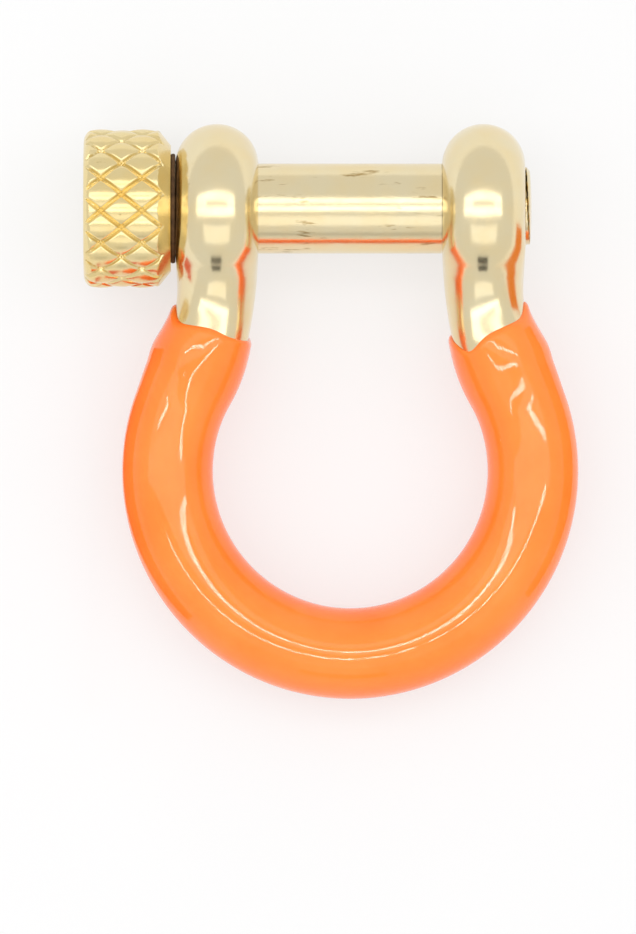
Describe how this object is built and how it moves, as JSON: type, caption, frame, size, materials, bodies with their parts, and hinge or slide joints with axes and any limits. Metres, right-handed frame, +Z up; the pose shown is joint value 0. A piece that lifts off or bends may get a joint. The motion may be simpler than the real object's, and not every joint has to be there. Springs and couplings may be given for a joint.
{
  "type": "bow shackle",
  "caption": "Small bow shackle: plated bow with an enamel coat, round eyes and a knurled screw pin that threads into one eye and unscrews to open the jaw.",
  "frame": {"origin": "on the pin's axis, half way between the two eyes", "axes": "+X along the pin towards its threaded tip, +Y from the crown of the bow to the pin, +Z up, square to the surface that the shackle lies on"},
  "size_m": [0.0275, 0.0319, 0.0097],
  "materials": {
    "plated_body": "polished pale gold plating",
    "enamel": "thick glossy orange enamel",
    "plated_pin": "pale gold plating with fine scratches",
    "plated_head": "pale gold plating over a diamond knurl",
    "washer": "dark brown fibre"
  },
  "bodies": {
    "shackle": {"shackle_body": "plated_body", "enamel_coat": "enamel"},
    "pin_carriage": {"washer": "washer"},
    "screw_pin": {"pin_shank": "plated_pin", "knurled_head": "plated_head"}
  },
  "joints": [
    {"name": "pin_travel", "type": "slide", "parent": "shackle", "child": "pin_carriage", "axis": [-1, 0, 0], "range_m": [0, 0.0256]},
    {"name": "pin_turn", "type": "hinge", "parent": "pin_carriage", "child": "screw_pin", "pos_m": [0, 0, 0], "axis": [-1, 0, 0], "range_deg": [0, 11520]}
  ],
  "couplings": [
    {"joint": "pin_turn", "follows": "pin_travel", "rad_per_m": 7854}
  ]
}
